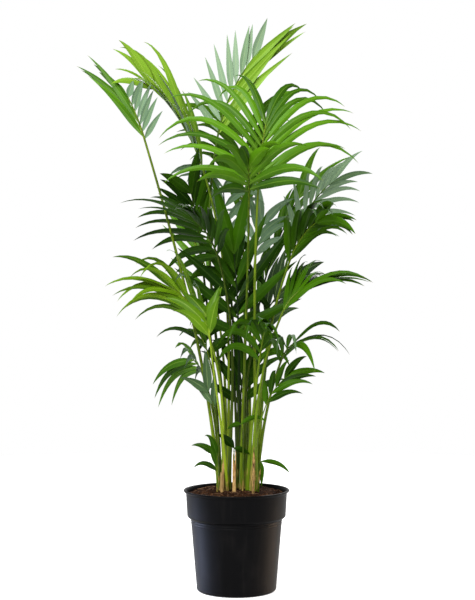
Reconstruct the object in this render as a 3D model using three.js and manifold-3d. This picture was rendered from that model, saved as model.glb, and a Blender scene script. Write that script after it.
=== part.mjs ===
// A kentia palm in a black nursery pot: five seedlings and four shoots rise in one clump out of the potting
// mix, each stalk carrying one feather-shaped frond. Millimetres, +Z up, the origin under the middle of the
// pot, where it stands. The front of the plant faces -Y.
import * as THREE from "three";
import { mergeVertices } from "three/addons/utils/BufferGeometryUtils.js";
import Module from "manifold-3d";

const wasm = await Module();
wasm.setup();
const { Manifold, Mesh } = wasm;

// ---- Driving dimensions ----

// The pot: a tapered tub with a straight band below its rolled lip.
const POT = {
  height: 247, // underside to the top of the lip
  footRadius: 93, // where the rounded bottom edge meets the ground
  bodyRadiusLow: 98, // just above the rounded bottom edge
  bodyRadiusHigh: 111.5, // just under the band
  bandRadiusLow: 121,
  bandRadiusHigh: 124,
  lipRadius: 130.5,
  bandBottom: 180,
  bandTop: 240,
  lipThickness: 4,
  edgeRound: 12,
  wall: 2.4,
  floor: 3,
  facets: 26,
};
// The underside stands on a ring and a middle disc, with a channel between them that holds the drain holes.
const DRAIN = {
  channelInner: 46,
  channelOuter: 74,
  channelDepth: 1.6,
  holeRadius: 6,
  holeCount: 8,
  holeRing: 60,
};

// The potting mix fills the pot and rises to a low mound round the stalks, just above the lip.
const MIX = { edgeHeight: 237, moundHeight: 250, moundRadius: 72 };
const CLEARANCE = 0.3; // between pieces that touch

// The stalks: round, swollen at the foot, thinning to the last leaflets.
const STALK = {
  depth: 40,
  footRadius: 6,
  shaftRadius: 4.4,
  neckRadius: 2.6,
  crestRadius: 1.3,
  swellHeight: 260,
};
const SIDES = 4; // the stalks are bluntly square, a flat side uppermost under the leaflets
const SHAFT_STEPS = [0, 0.12, 0.35, 0.7, 1]; // shares of the petiole
const RIB_STEPS = [0.25, 0.5, 0.75, 1]; // shares of the midrib past the neck
const BEND_REACH = 0.35; // share of a stretch that its end direction governs

// The blades: lance-shaped leaflets with a raised keel, drawn from stations along their middle line.
const BLADE = { rootWidth: 0.12, keel: 0.05, keelLeast: 0.9, widestAt: 0.38, taper: 2.3, steps: 20 };
const STIFF_STATIONS = [0, 6, 13, 20];
const ARCHED_STATIONS = [0, 6, 11, 16, 20];
const ARCHED_FROM = 1.25; // the droop past which a blade needs the finer stations
const DROOP_POWER = 1.8;
const LEAF_GAP = 0.8;
const TURN_STEP = 4;
const TURN_RINGS = 9;
const SHORTER = 0.8; // length share of the second try
const VARIED = { splay: 4, lift: 5, length: 0.06, droop: 0.25 }; // how much the leaflets of a frond differ

// Where the seedlings stand, and the ring that their stalks share.
const SEEDLINGS = {
  left: [-29, -14],
  right: [36, -16],
  middle: [13, 11],
  backLeft: [-28, 40],
  backRight: [37, 38],
  shootLeft: [-47, -34],
  shootInner: [-4, -30],
  shootFront: [14.6, -35],
  shootRight: [50, -37],
};
const RING_RADIUS = 12.5;
const RING_START = 20; // degrees

// The fronds. place is the seedling and the place in its ring, where 0 is the middle. neck is where the
// leaflets begin and crest where the midrib ends. size is leaflet length and width. face is the way the
// upper side looks. splay is the leaflets' angle to the midrib at the neck and at the crest, lift their
// angle out of the frond's plane, and droop how far their ends hang. tip is the last pair's length share.
// spread and reach are the shares of the splay and of the length that each side has.
const FRONDS = {
  tall_front: {
    place: ["right", 6], neck: [53, -61, 989], crest: [71, -36, 1137], pairs: 9, size: [289, 19],
    face: [0.13, -0.94, 0.32], splay: [64, 24], lift: 0, droop: 1.31, tip: 0.61,
    spread: [1.02, 0.71], reach: [1, 1.02],
  },
  tall_left: {
    place: ["left", 2], neck: [-220, -84, 1096], crest: [-260, -73, 1197], pairs: 7, size: [186, 16.5],
    face: [0.08, 0.88, -0.46], splay: [43, 41], lift: 21, droop: 0.33, tip: 0.5,
    spread: [0.98, 0.43], reach: [0.58, 1.12],
  },
  arching_left: {
    place: ["backLeft", 5], neck: [-83, 43, 1035], crest: [-201, 0, 1229], pairs: 8, size: [227, 22],
    face: [0.87, -0.29, -0.39], splay: [21, 24], lift: 40, droop: 0.78, tip: 0.63,
    spread: [0.88, 0.3], reach: [0.94, 1.08],
  },
  top: {
    place: ["backLeft", 6], neck: [-46, 90, 1130], crest: [41, 116, 1323], pairs: 9, size: [226, 19.5],
    face: [0.35, 0.74, 0.57], splay: [50, 23], lift: 5, droop: 0.17, tip: 0.7,
    spread: [0.51, 0.88], reach: [1.12, 0.73],
  },
  middle_front: {
    place: ["middle", 4], neck: [30, -85, 971], crest: [29, -110, 1024], pairs: 5, size: [227, 27],
    face: [0.1, -0.02, -0.99], splay: [75, 6], lift: 31, droop: 1.09, tip: 0.5,
    spread: [0.95, 0.99], reach: [0.85, 0.96],
  },
  middle_left: {
    place: ["left", 6], neck: [-46, -46, 817], crest: [-102, -95, 903], pairs: 8, size: [191, 24],
    face: [-0.57, -0.54, -0.61], splay: [85, 15], lift: 1, droop: 0.88, tip: 0.9,
    spread: [1.1, 0.46], reach: [1.12, 0.89],
  },
  upper_right: {
    place: ["backRight", 6], neck: [149, 86, 873], crest: [233, 121, 1003], pairs: 7, size: [147, 17],
    face: [0.26, 0.86, 0.44], splay: [56, 13], lift: 32, droop: 0.72, tip: 0.92,
    spread: [0.95, 0.75], reach: [1.12, 1.07],
  },
  middle_right: {
    place: ["right", 1], neck: [128, -40, 803], crest: [187, -121, 893], pairs: 6, size: [194, 25],
    face: [0.2, -0.98, -0.03], splay: [36, 18], lift: 16, droop: 1.22, tip: 0.74,
    spread: [0.73, 0.49], reach: [1.12, 0.99],
  },
  low_left: {
    place: ["left", 4], neck: [-73, -103, 644], crest: [-140, -128, 730], pairs: 8, size: [237, 16],
    face: [-0.5, -0.57, 0.65], splay: [32, 13], lift: 37, droop: 1.37, tip: 0.78,
    spread: [0.86, 1.02], reach: [1.02, 1],
  },
  low_right: {
    place: ["right", 4], neck: [111, -107, 684], crest: [154, -95, 735], pairs: 6, size: [227, 21],
    face: [-0.5, -0.49, 0.72], splay: [33, 31], lift: 0, droop: 1.11, tip: 0.76,
    spread: [0.96, 0.76], reach: [0.87, 0.99],
  },
  young_left: {
    place: ["left", 5], neck: [-62, -200, 628], crest: [-67, -190, 672], pairs: 3, size: [108, 26],
    face: [-0.1, -0.95, 0.3], splay: [36, 26], lift: 4, droop: 0.75, tip: 0.8,
    spread: [1, 0.5], reach: [1.15, 1],
  },
  small_right: {
    place: ["right", 5], neck: [70, -140, 465], crest: [113, -140, 527], pairs: 4, size: [98, 18],
    face: [0.06, -1, 0.02], splay: [35, 23], lift: 22, droop: 0.95, tip: 0.92,
    spread: [0.81, 0.83], reach: [0.85, 1.12],
  },
  drooping_left: {
    place: ["backLeft", 3], neck: [-86, 19, 534], crest: [-106, 30, 562], pairs: 4, size: [178, 19],
    face: [-0.89, -0.07, 0.45], splay: [69, 43], lift: 22, droop: 2.59, tip: 0.68,
    spread: [0.97, 1.1], reach: [1.12, 0.63],
  },
  small_left: {
    place: ["left", 3], neck: [-54, -63, 453], crest: [-68, -72, 491], pairs: 2, size: [113, 20],
    face: [0.17, 0.9, -0.41], splay: [26, 50], lift: 2, droop: 0.66, tip: 0.92,
    spread: [0.47, 0.39], reach: [1.01, 0.75],
  },
  short_left: {
    place: ["backLeft", 0], neck: [-72, 6, 585], crest: [-93, 27, 626], pairs: 3, size: [132, 17],
    face: [-0.41, 0.14, 0.9], splay: [26, 16], lift: 14, droop: 1.96, tip: 0.51,
    spread: [1.1, 0.85], reach: [1.05, 1],
  },
  bowed_right: {
    place: ["backRight", 5], neck: [104, -117, 563], crest: [129, -166, 607], pairs: 4, size: [176, 15],
    face: [0.39, -0.81, 0.44], splay: [29, 19], lift: 0, droop: 1.61, tip: 0.92,
    spread: [0.87, 0.98], reach: [1.12, 1.1],
  },
  dark_right: {
    place: ["right", 3], neck: [55, -75, 565], crest: [67, -121, 638], pairs: 5, size: [142, 22],
    face: [-0.31, -0.94, -0.13], splay: [68, 22], lift: 5, droop: 2.48, tip: 0.54,
    spread: [0.76, 0.45], reach: [1.12, 0.88],
  },
  inner_left: {
    place: ["backLeft", 2], neck: [-94, 86, 866], crest: [-112, 55, 976], pairs: 5, size: [152, 25],
    face: [0.32, -0.94, 0.07], splay: [48, 38], lift: 7, droop: 0.44, tip: 0.79,
    spread: [0.81, 0.49], reach: [0.94, 1.02],
  },
  centre: {
    place: ["middle", 3], neck: [5, -8, 628], crest: [-6, -11, 824], pairs: 6, size: [189, 29],
    face: [-0.04, -0.72, 0.69], splay: [56, 4], lift: 0, droop: 0.15, tip: 0.92,
    spread: [1.1, 1.1], reach: [1.12, 1.12],
  },
  inner_back_left: {
    place: ["middle", 1], neck: [-24, 124, 865], crest: [-34, 93, 996], pairs: 4, size: [163, 20],
    face: [0.14, 0.89, 0.44], splay: [30, 49], lift: 8, droop: 1.76, tip: 0.89,
    spread: [1.01, 0.5], reach: [0.78, 1.12],
  },
  inner_back_right: {
    place: ["backRight", 4], neck: [48, 110, 822], crest: [64, 125, 898], pairs: 4, size: [165, 22],
    face: [0.39, 0.87, 0.31], splay: [63, 36], lift: 0, droop: 1.04, tip: 0.92,
    spread: [0.62, 0.63], reach: [0.74, 1.06],
  },
  centre_left: {
    place: ["middle", 2], neck: [-13, 21, 614], crest: [-33, 26, 768], pairs: 5, size: [163, 28],
    face: [-0.1, -0.92, 0.37], splay: [85, 50], lift: 3, droop: 2.6, tip: 0.84,
    spread: [1.1, 0.47], reach: [0.68, 1.12],
  },
  centre_right: {
    place: ["middle", 5], neck: [50, 45, 624], crest: [126, 65, 748], pairs: 4, size: [164, 28],
    face: [-0.16, 0.99, 0.04], splay: [57, 14], lift: 22, droop: 0.68, tip: 0.67,
    spread: [0.49, 0.47], reach: [1.05, 1],
  },
  back_left: {
    place: ["backLeft", 1], neck: [-56, 183, 713], crest: [-132, 278, 896], pairs: 4, size: [187, 22],
    face: [-0.42, -0.73, 0.55], splay: [62, 8], lift: 9, droop: 0.15, tip: 0.71,
    spread: [0.46, 0.55], reach: [1.12, 1],
  },
  back_right: {
    place: ["backRight", 3], neck: [59, 178, 701], crest: [162, 257, 977], pairs: 5, size: [197, 22],
    face: [-0.31, -0.79, 0.52], splay: [44, 42], lift: 10, droop: 0.83, tip: 0.92,
    spread: [0.3, 0.3], reach: [1.05, 1.12],
  },
  back_tall: {
    place: ["backRight", 2], neck: [17, 246, 923], crest: [16, 214, 1137], pairs: 6, size: [208, 21],
    face: [-0.03, -0.93, 0.37], splay: [24, 50], lift: 10, droop: 1.13, tip: 0.92,
    spread: [0.88, 0.68], reach: [1.12, 1.12],
  },
  low_back: {
    place: ["middle", 6], neck: [10, 44, 453], crest: [16, 56, 524], pairs: 4, size: [140, 25],
    face: [0.01, -0.87, 0.5], splay: [66, 24], lift: 14, droop: 0.82, tip: 0.92,
    spread: [0.71, 0.74], reach: [1.12, 1.05],
  },
  shoot_left: {
    place: ["shootLeft", 0], neck: [-46, -64, 299], crest: [-47, -68, 337], pairs: 2, size: [70, 15],
    face: [-0.1, -0.9, 0.4], splay: [48, 46], lift: 0, droop: 1.35, tip: 0.8,
    spread: [1, -0.22], reach: [1.25, 1.12],
  },
  shoot_inner: {
    place: ["shootInner", 0], neck: [-6, -44, 345], crest: [-6, -48, 353], pairs: 1, size: [62, 19],
    face: [0, -0.9, 0.4], splay: [75, 75], lift: 14, droop: 0.6, tip: 1,
    spread: [0.42, 1.35], reach: [1.25, 0.72],
  },
  shoot_front: {
    place: ["shootFront", 0], neck: [13, -62, 402], crest: [11, -66, 412], pairs: 1, size: [66, 13],
    face: [0, -0.9, 0.4], splay: [80, 80], lift: 0, droop: 1.7, tip: 1,
    spread: [0.8, 1], reach: [0.6, 1.05],
  },
  shoot_right: {
    place: ["shootRight", 0], neck: [58, -66, 314], crest: [59, -70, 323], pairs: 1, size: [72, 13],
    face: [0, -0.9, 0.4], splay: [72, 72], lift: 0, droop: 1.5, tip: 1,
    spread: [2.6, 1], reach: [0.95, 1.1],
  },
};

// Dead sheaths of cut stalks, standing in the mix at the front of the clump: foot and top, where the tallest
// shred ends, then the width across and the depth.
const SHEATHS = {
  tan: { foot: [-6.1, -44, 205], top: [-4.8, -56, 349], width: 9, depth: 6 },
  frayed: { foot: [39.8, -59, 205], top: [41.8, -89, 372], width: 7, depth: 5 },
  brown: { foot: [-36, -50, 205], top: [-30, -53, 345], width: 6.5, depth: 3.5 },
  short: { foot: [-37.6, -41, 205], top: [-35.1, -47, 300], width: 8, depth: 5 },
};
// Share of the height, share of the width there, and how far the section leans to one side.
const SHEATH_STATIONS = [[0, 1, 0], [0.5, 0.95, 0.03], [0.82, 0.72, -0.1], [1, 0.3, 0.15]];
const SHEATH_SIDES = 6;

// ---- Materials ----

const paint = (color, roughness) => new THREE.MeshStandardMaterial({ color, roughness, metalness: 0 });
const potPlastic = paint("#1d1d20", 0.45);
const pottingMix = paint("#4a2c1c", 0.95);
const leafGreen = paint("#35641c", 0.45);
const drySheath = paint("#9a7b4c", 0.85);

// ---- Solids from meshes ----

// A closed three.js geometry as a manifold solid.
function solidOf(geometry) {
  const bare = new THREE.BufferGeometry();
  bare.setAttribute("position", geometry.getAttribute("position"));
  bare.setIndex(geometry.getIndex());
  const merged = mergeVertices(bare, 1e-4);
  const triVerts = new Uint32Array(merged.getIndex().array);
  const vertProperties = merged.getAttribute("position").array;
  return new Manifold(new Mesh({ numProp: 3, vertProperties, triVerts }));
}

// A manifold solid as a three.js geometry.
function geometryOf(solid) {
  const mesh = solid.getMesh();
  const geometry = new THREE.BufferGeometry();
  geometry.setAttribute("position", new THREE.BufferAttribute(mesh.vertProperties, mesh.numProp));
  geometry.setIndex(new THREE.BufferAttribute(mesh.triVerts, 1));
  return geometry.toNonIndexed();
}

// A skin carried over rings of points, each ring counter-clockwise when seen from ahead of the way the rings
// run, closed by a fan at each end. A ring of one point is a sharp end. A four-cornered face is split along
// the diagonal that bulges outwards, so that the two sides of a thin twisted blade never cross.
function loft(rings) {
  const positions = [];
  const index = [];
  const starts = rings.map((ring) => {
    const start = positions.length / 3;
    ring.forEach((p) => positions.push(p.x, p.y, p.z));
    return start;
  });
  for (let r = 0; r + 1 < rings.length; r++) {
    const [near, far] = [rings[r].length, rings[r + 1].length];
    for (let i = 0; i < near; i++) {
      const a = starts[r] + i;
      const b = starts[r] + ((i + 1) % near);
      if (far === 1) {
        index.push(a, b, starts[r + 1]);
      } else {
        const c = starts[r + 1] + i;
        const d = starts[r + 1] + ((i + 1) % far);
        const [pa, pb, pc, pd] = [a, b, c, d].map((n) => new THREE.Vector3().fromArray(positions, 3 * n));
        const outward = pb.sub(pa).cross(pd.sub(pa));
        if (outward.dot(pc.sub(pa)) > 0) index.push(a, b, c, b, d, c);
        else index.push(a, b, d, a, d, c);
      }
    }
  }
  for (let i = 1; i + 1 < rings[0].length; i++) index.push(starts[0], starts[0] + i + 1, starts[0] + i);
  const last = rings.length - 1;
  const end = starts[last];
  for (let i = 1; i + 1 < rings[last].length; i++) index.push(end, end + i, end + i + 1);
  const geometry = new THREE.BufferGeometry();
  geometry.setAttribute("position", new THREE.Float32BufferAttribute(positions, 3));
  geometry.setIndex(index);
  return geometry;
}

// ---- How a frond grows ----

const vec = ([x, y, z]) => new THREE.Vector3(x, y, z);
const radians = THREE.MathUtils.degToRad;
const mix = (a, b, share) => a * (1 - share) + b * share;
// A sum of scaled vectors: combine([a, u], [b, v]) is a u + b v.
const combine = (...terms) => terms.reduce((sum, [k, v]) => sum.addScaledVector(v, k), new THREE.Vector3());

// A fixed draw from -1 to 1 for frond i, leaflet j and purpose k.
function draw(i, j, k) {
  const x = Math.sin(i * 12.9898 + j * 78.233 + k * 37.719) * 43758.5453;
  return (x - Math.floor(x)) * 2 - 1;
}

// Where a stalk's foot is, in the potting mix.
function footOf([seedling, place]) {
  const [x, y] = SEEDLINGS[seedling];
  const z = MIX.edgeHeight - STALK.depth;
  if (place === 0) return new THREE.Vector3(x, y, z);
  const angle = radians(60 * place + RING_START);
  return new THREE.Vector3(x + RING_RADIUS * Math.cos(angle), y + RING_RADIUS * Math.sin(angle), z);
}

// The petiole, from the foot to the neck, and the midrib, from the neck to the crest, as two smooth curves
// that share a direction at the neck. The midrib leaves its chord by the same angle at both ends.
function spineOf(frond) {
  const foot = footOf(frond.place);
  const neck = vec(frond.neck);
  const crest = vec(frond.crest);
  const rise = neck.clone().sub(foot);
  const run = crest.clone().sub(neck);
  const riseReach = rise.length() * BEND_REACH;
  const runReach = run.length() * BEND_REACH;
  const chord = run.clone().normalize();
  const atNeck = combine([0.5, rise.clone().normalize()], [0.5, chord]).normalize();
  const atFoot = new THREE.Vector3(rise.x * 0.35, rise.y * 0.35, rise.z).normalize();
  const atCrest = combine([2 * chord.dot(atNeck), chord], [-1, atNeck]);
  const between = (a, wayA, reach, wayB, b) =>
    new THREE.CubicBezierCurve3(a, combine([1, a], [reach, wayA]), combine([1, b], [-reach, wayB]), b);
  return {
    petiole: between(foot, atFoot, riseReach, atNeck, neck),
    midrib: between(neck, atNeck, runReach, atCrest, crest),
  };
}

// The stalk's radius at a height over its foot, and along its midrib.
function petioleRadius(share, height) {
  const swell = Math.min(1, Math.max(0, 1 - height / STALK.swellHeight)) ** 2;
  return mix(STALK.shaftRadius, STALK.neckRadius, share) + (STALK.footRadius - STALK.shaftRadius) * swell;
}
const midribRadius = (share) => mix(STALK.neckRadius, STALK.crestRadius, share);

// The stalk and midrib as one tapered round bar. room widens it, for the hole that it stands in.
function stalkSolid(frond, scale, room = 0) {
  const { petiole, midrib } = spineOf(frond);
  const face = vec(frond.face);
  const stations = [
    ...SHAFT_STEPS.map((share) => {
      const at = petiole.getPoint(share);
      const radius = petioleRadius(share, at.z - MIX.edgeHeight) * scale;
      return { at, way: petiole.getTangent(share), radius };
    }),
    ...RIB_STEPS.map((share) => ({
      at: midrib.getPoint(share),
      way: midrib.getTangent(share),
      radius: midribRadius(share) * scale,
    })),
  ];
  if (room) stations[0].at.addScaledVector(stations[0].way, -room);
  const rings = stations.map(({ at, way, radius }) => {
    const up = combine([1, face], [-face.dot(way), way]).normalize();
    const across = way.clone().cross(up);
    return Array.from({ length: SIDES }, (_, i) => {
      const angle = (2 * Math.PI * (i + 0.5)) / SIDES;
      const r = radius + room;
      return combine([1, at], [r * Math.cos(angle), up], [r * Math.sin(angle), across]);
    });
  });
  return solidOf(loft(rings));
}

// A dead sheath: a flattened stem that narrows to a torn, leaning tip. room widens it for its hole.
function sheathSolid({ foot, top, width, depth }, room = 0) {
  const from = vec(foot);
  const run = vec(top).sub(from);
  const rings = SHEATH_STATIONS.map(([share, fullness, lean], station) => {
    const shift = new THREE.Vector3(lean * width, 0, station === 0 ? -room : 0);
    const middle = combine([1, from], [share, run], [1, shift]);
    return Array.from({ length: SHEATH_SIDES }, (_, i) => {
      const angle = (2 * Math.PI * i) / SHEATH_SIDES;
      const x = ((width / 2) * fullness + room) * Math.cos(angle);
      const y = ((depth / 2) * fullness + room) * Math.sin(angle);
      return new THREE.Vector3(middle.x + x, middle.y + y, middle.z);
    });
  });
  return solidOf(loft(rings));
}

// Where each leaflet leaves the midrib and how it is held, before it bends aside for its neighbours.
function leafletsOf(frond, number) {
  const { midrib } = spineOf(frond);
  const face = vec(frond.face);
  const spread = frond.spread ?? [1, 1];
  const reach = frond.reach ?? [1, 1];
  const leaflets = [];
  for (let j = 0; j < frond.pairs; j++) {
    for (const side of [-1, 1]) {
      const last = j === frond.pairs - 1;
      const offset = side > 0 ? 0.22 : 0;
      const share = last ? 1 : (j + offset) / (frond.pairs - 1 + 0.22);
      const along = midrib.getTangent(share);
      const up = combine([1, face], [-face.dot(along), along]).normalize();
      const right = along.clone().cross(up);
      const fullness = 0.72 + 0.28 * Math.sin(Math.PI * Math.min(1, share * 1.05 + 0.12));
      const varied = fullness * (1 + VARIED.length * draw(number, j, side + 9));
      const hand = side < 0 ? 0 : 1;
      const splay = mix(frond.splay[0], frond.splay[1], share);
      leaflets.push({
        side,
        pair: j,
        root: midrib.getPoint(share),
        along,
        up,
        right,
        splay: splay * spread[hand] + VARIED.splay * draw(number, j, side),
        lift: frond.lift + VARIED.lift * draw(number, j, side + 5),
        length: frond.size[0] * reach[hand] * (last ? frond.tip : varied),
        width: frond.size[1] * (last ? 1.25 : 1),
        droop: frond.droop * (1 + VARIED.droop * draw(number, j, side + 13)) * (last ? 0.8 : 1),
      });
    }
  }
  return leaflets;
}

// The blade's width at a share of its length: narrow at the root, widest early, then a long point.
function bladeWidth(width, share) {
  const opening = Math.sin(Math.min(1, share / BLADE.widestAt) * (Math.PI / 2));
  return width * (BLADE.rootWidth + (1 - BLADE.rootWidth) * opening) * (1 - share ** BLADE.taper);
}

// The middle line of a leaflet turned aside by the given degrees: each step's way is the first way with a
// share of straight down added, which grows towards the tip.
function middleLine(leaflet, turnSplay, turnLift, lengthShare) {
  const splay = radians(leaflet.splay + turnSplay);
  const lift = radians(leaflet.lift + turnLift);
  const outward = combine([leaflet.side * Math.cos(lift), leaflet.right], [Math.sin(lift), leaflet.up]);
  const first = combine([Math.cos(splay), leaflet.along], [Math.sin(splay), outward]).normalize();
  const flat = combine([Math.cos(lift), leaflet.up], [-leaflet.side * Math.sin(lift), leaflet.right]);
  const down = new THREE.Vector3(0, 0, -1);
  const wayAt = (share) => combine([1, first], [leaflet.droop * share ** DROOP_POWER, down]).normalize();
  const step = (leaflet.length * lengthShare) / BLADE.steps;
  const points = [leaflet.root.clone()];
  for (let q = 0; q < BLADE.steps; q++) {
    points.push(points[q].clone().addScaledVector(wayAt((q + 0.5) / BLADE.steps), step));
  }
  return { points, wayAt, flat };
}

// A blade with a three-cornered section: two edges and a keel along the middle.
function bladeSolid(leaflet, { points, wayAt, flat }, stations) {
  const rings = stations.map((q) => {
    const share = q / BLADE.steps;
    if (share === 1) return [points[q]];
    const way = wayAt(share);
    const up = combine([1, flat], [-flat.dot(way), way]).normalize();
    const across = way.clone().cross(up);
    const half = bladeWidth(leaflet.width, share) / 2;
    const keel = BLADE.keelLeast + BLADE.keel * half;
    return [
      combine([1, points[q]], [half, across], [-keel / 3, up]),
      combine([1, points[q]], [(2 * keel) / 3, up]),
      combine([1, points[q]], [-half, across], [-keel / 3, up]),
    ].reverse();
  });
  return solidOf(loft(rings));
}

// The ways a leaflet may bend aside: its own, then rings of wider turns, then the same when shorter.
function* turns() {
  for (const lengthShare of [1, SHORTER]) {
    yield [0, 0, lengthShare];
    for (let ring = 1; ring <= TURN_RINGS; ring++) {
      for (let i = 0; i < 6; i++) {
        const angle = (i * Math.PI) / 3;
        yield [ring * TURN_STEP * Math.cos(angle), ring * TURN_STEP * Math.sin(angle), lengthShare];
      }
    }
  }
}

function near(a, b, room) {
  const [p, q] = [a.box, b.box];
  return [0, 1, 2].every((k) => p.min[k] < q.max[k] + room && q.min[k] < p.max[k] + room);
}
const placed = (solid, frond, pair, side) => ({ solid, frond, pair, side, box: solid.boundingBox() });

// ---- The plant: stalks first, then leaflets that each find their own room ----

const names = Object.keys(FRONDS);
const stalkScale = (frond) => (frond.size[0] < 100 ? 0.5 : frond.pairs < 4 ? 0.75 : 1);
const stalks = names.map((name) => placed(stalkSolid(FRONDS[name], stalkScale(FRONDS[name])), name));

const sheathNames = Object.keys(SHEATHS);
const sheaths = sheathNames.map((name) => placed(sheathSolid(SHEATHS[name]), `sheath_${name}`));
const leaves = [];
names.forEach((name, number) => {
  for (const leaflet of leafletsOf(FRONDS[name], number)) {
    let found = null;
    for (const [turnSplay, turnLift, lengthShare] of turns()) {
      const line = middleLine(leaflet, turnSplay, turnLift, lengthShare);
      const stations = FRONDS[name].droop > ARCHED_FROM ? ARCHED_STATIONS : STIFF_STATIONS;
      const full = placed(bladeSolid(leaflet, line, stations), name, leaflet.pair, leaflet.side);
      const outer = placed(bladeSolid(leaflet, line, stations.slice(1)), name);
      const all = [...stalks, ...sheaths, ...leaves];
      const others = all.filter((o) => o.frond !== name && near(full, o, LEAF_GAP));
      const own = leaves.filter((o) => o.frond === name && near(outer, o.outer, LEAF_GAP));
      const free =
        others.every((o) => full.solid.minGap(o.solid, LEAF_GAP) >= LEAF_GAP) &&
        own.every((o) => outer.solid.minGap(o.outer.solid, LEAF_GAP) >= LEAF_GAP);
      if (free) {
        found = { ...full, outer };
        break;
      }
    }
    if (found) leaves.push(found);
  }
});

// Each frond is one body: its stalk and midrib with its leaflets rooted in them. The shell round it is kept,
// and the shells of any small pockets closed in between crossing leaflets are left out, so that it is solid.
const fronds = names.map((name, i) => {
  const own = leaves.filter((leaf) => leaf.frond === name).map((leaf) => leaf.solid);
  const shells = Manifold.union([stalks[i].solid, ...own]).decompose();
  return { name, solid: shells.reduce((a, b) => (b.volume() > a.volume() ? b : a)) };
});

// ---- The pot ----

function ring(points, facets) {
  const profile = points.map(([r, z]) => new THREE.Vector2(r, z));
  return new THREE.LatheGeometry(profile, facets);
}
// LatheGeometry turns about Y, so its solids are stood up to turn about Z.
const stoodUp = (geometry) => solidOf(geometry.rotateX(Math.PI / 2));

function potSolid() {
  const p = POT;
  const inner = p.wall;
  const profile = [
    [0, 0],
    [DRAIN.channelInner, 0],
    [DRAIN.channelInner + 2, DRAIN.channelDepth],
    [DRAIN.channelOuter - 2, DRAIN.channelDepth],
    [DRAIN.channelOuter, 0],
    [p.footRadius, 0],
    [p.bodyRadiusLow - 1, p.edgeRound * 0.4],
    [p.bodyRadiusLow, p.edgeRound],
    [p.bodyRadiusHigh, p.bandBottom - 4],
    [p.bandRadiusLow, p.bandBottom + 2],
    [p.bandRadiusHigh, p.bandTop],
    [p.lipRadius, p.height - p.lipThickness],
    [p.lipRadius, p.height - 1],
    [p.lipRadius - 1.5, p.height],
    [p.bandRadiusHigh - inner, p.height - 1],
    [p.bandRadiusLow - inner, p.bandBottom + 4],
    [p.bodyRadiusHigh - inner, p.bandBottom - 2],
    [p.bodyRadiusLow - inner, p.edgeRound],
    [p.footRadius - inner, p.floor + 3],
    [0, p.floor + 3],
  ];
  const hole = stoodUp(new THREE.CylinderGeometry(DRAIN.holeRadius, DRAIN.holeRadius, 30, 10));
  const holes = Array.from({ length: DRAIN.holeCount }, (_, i) => {
    const angle = (2 * Math.PI * i) / DRAIN.holeCount;
    return hole.translate([DRAIN.holeRing * Math.cos(angle), DRAIN.holeRing * Math.sin(angle), 0]);
  });
  return stoodUp(ring(profile, p.facets)).subtract(Manifold.union(holes));
}

// The mix: a plug that follows the inside of the pot, with a plain hole for each stalk.
function mixSolid() {
  const p = POT;
  const inner = p.wall + CLEARANCE;
  const bandShare = (MIX.edgeHeight - p.bandBottom) / (p.bandTop - p.bandBottom);
  const mixRadius = mix(p.bandRadiusLow, p.bandRadiusHigh, bandShare) - inner;
  const profile = [
    [0, p.floor + 3 + CLEARANCE],
    [p.footRadius - inner - 0.5, p.floor + 3 + CLEARANCE],
    [p.bodyRadiusLow - inner - 0.5, p.edgeRound + 0.5],
    [p.bodyRadiusHigh - inner - 0.5, p.bandBottom - 2],
    [p.bandRadiusLow - inner - 0.7, p.bandBottom + 5],
    [mixRadius - 0.7, MIX.edgeHeight - 2],
    [mixRadius - 6, MIX.edgeHeight],
    [MIX.moundRadius, MIX.moundHeight],
    [0, MIX.moundHeight],
  ];
  const holes = names.map((name) => stalkSolid(FRONDS[name], stalkScale(FRONDS[name]), CLEARANCE));
  const sockets = Object.values(SHEATHS).map((sheath) => sheathSolid(sheath, CLEARANCE));
  return stoodUp(ring(profile, p.facets)).subtract(Manifold.union([...holes, ...sockets]));
}

// ---- The whole plant in its pot ----

const plant = new THREE.Group();
function add(name, solid, material) {
  const mesh = new THREE.Mesh(geometryOf(solid), material);
  mesh.name = name;
  plant.add(mesh);
}
add("pot", potSolid(), potPlastic);
add("potting_mix", mixSolid(), pottingMix);
for (const { name, solid } of fronds) add(`frond_${name}`, solid, leafGreen);
for (const { frond: name, solid } of sheaths) add(name, solid, drySheath);

export default plant;
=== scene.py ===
import math

import bpy
import numpy as np
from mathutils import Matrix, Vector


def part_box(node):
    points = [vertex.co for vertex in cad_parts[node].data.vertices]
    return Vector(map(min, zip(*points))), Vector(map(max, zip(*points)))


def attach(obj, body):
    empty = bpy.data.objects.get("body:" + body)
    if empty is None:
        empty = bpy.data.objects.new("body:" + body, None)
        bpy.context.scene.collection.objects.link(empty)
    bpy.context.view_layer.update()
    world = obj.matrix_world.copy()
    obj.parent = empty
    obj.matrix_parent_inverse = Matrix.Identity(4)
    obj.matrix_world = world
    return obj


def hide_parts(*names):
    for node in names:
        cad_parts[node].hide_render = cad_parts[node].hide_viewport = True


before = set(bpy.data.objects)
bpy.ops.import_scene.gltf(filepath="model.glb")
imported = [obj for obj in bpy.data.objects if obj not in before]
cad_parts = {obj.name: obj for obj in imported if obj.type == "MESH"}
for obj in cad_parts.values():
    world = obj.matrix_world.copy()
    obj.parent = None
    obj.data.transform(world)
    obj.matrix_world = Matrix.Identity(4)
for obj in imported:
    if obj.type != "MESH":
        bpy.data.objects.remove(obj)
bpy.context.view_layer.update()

# ------------------------------
# The view: level with the middle of the plant and straight ahead, as the plant's front is seen.
# The lens is worked out from the picture's height.

PICTURE_HEIGHT = 600
FOCAL_PIXELS = 1345
EYE = (0.0025, -3.3, 0.711)

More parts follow.
